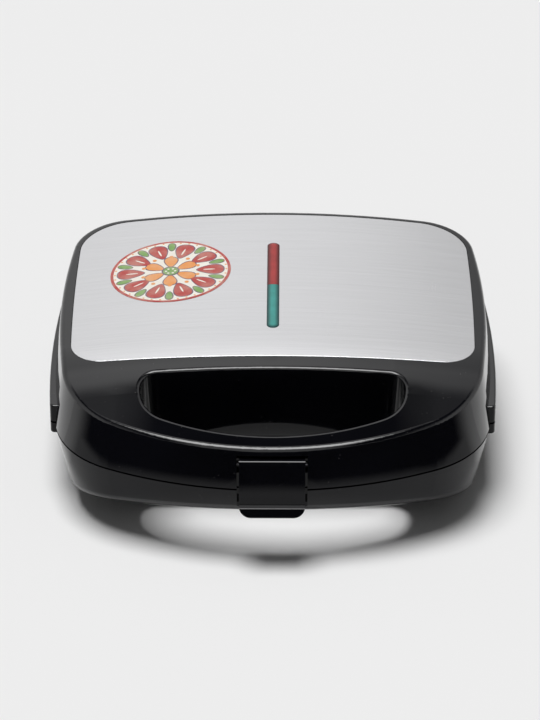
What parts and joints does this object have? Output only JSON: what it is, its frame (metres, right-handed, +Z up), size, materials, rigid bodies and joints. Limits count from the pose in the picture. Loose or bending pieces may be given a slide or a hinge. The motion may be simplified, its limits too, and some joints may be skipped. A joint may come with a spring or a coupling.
{
  "type": "sandwich maker",
  "caption": "Closed electric sandwich maker: glossy black case with a looped front handle, latch clip, side bumpers, brushed steel panel and indicator bar.",
  "frame": {"origin": "on the floor, under the middle of the overall width and depth", "axes": "+X to the right seen from the front, +Y to the hinges, +Z up"},
  "size_m": [0.2336, 0.23, 0.0906],
  "materials": {
    "gloss_black": "glossy black moulded plastic",
    "latch_black": "satin-gloss black moulded plastic",
    "matt_black": "fine-grained black heat-resistant plastic",
    "heat_plastic": "off-white heat-resistant plastic",
    "brushed_panel": "stainless steel brushed from side to side, with a printed decoration",
    "red_lens": "red translucent plastic",
    "green_lens": "green translucent plastic",
    "lamp_glass": "clear glass",
    "coated_plate": "cast aluminium with a dark non-stick coating",
    "heater_sheath": "dull steel sheath, heat-tinted",
    "plated_steel": "zinc-plated sheet steel",
    "ceramic": "white ceramic beads with plated tabs",
    "reflector_sheet": "aluminised sheet",
    "screw_steel": "zinc-plated steel screws",
    "pin_steel": "ground steel pins",
    "fuse_case": "metal-cased thermal fuse",
    "thermostat_case": "metal-cased disc thermostat",
    "terminal_plastic": "natural nylon terminal block",
    "wire_sleeve": "glass-fibre sleeved wire",
    "gland_rubber": "black rubber grommet",
    "foot_rubber": "black rubber foot"
  },
  "bodies": {
    "base": {"lower_housing": "gloss_black", "lower_deck": "matt_black", "lower_deck_screws": "screw_steel", "lower_plate": "coated_plate", "lower_plate_screws": "screw_steel", "lower_heater": "heater_sheath", "lower_heater_clamps": "plated_steel", "lower_clamp_screws": "screw_steel", "lower_heater_terminals": "ceramic", "lower_reflector": "reflector_sheet", "thermal_fuse": "fuse_case", "fuse_clip": "plated_steel", "terminal_block": "terminal_plastic", "lower_wiring": "wire_sleeve", "cord_gland": "gland_rubber", "rubber_feet": "foot_rubber", "hinge_pins": "pin_steel"},
    "lid": {"upper_housing": "gloss_black", "top_panel": "brushed_panel", "lens_red": "red_lens", "lens_green": "green_lens", "lamp_carrier": "heat_plastic", "carrier_screws": "screw_steel", "power_lamp": "lamp_glass", "ready_lamp": "lamp_glass", "upper_deck": "matt_black", "upper_deck_screws": "screw_steel", "upper_plate": "coated_plate", "upper_plate_screws": "screw_steel", "upper_heater": "heater_sheath", "upper_heater_clamps": "plated_steel", "upper_clamp_screws": "screw_steel", "upper_heater_terminals": "ceramic", "upper_reflector": "reflector_sheet", "thermostat": "thermostat_case", "upper_wiring": "wire_sleeve", "latch_pin": "pin_steel"},
    "latch": {"latch": "latch_black"}
  },
  "joints": [
    {"name": "lid_hinge", "type": "hinge", "parent": "base", "child": "lid", "pos_m": [0, 0.1095, 0.0465], "axis": [-1, 0, 0], "range_deg": [0, 100]},
    {"name": "latch_pivot", "type": "hinge", "parent": "lid", "child": "latch", "pos_m": [0, -0.104, 0.0573], "axis": [-1, 0, 0], "range_deg": [0, 55]}
  ]
}
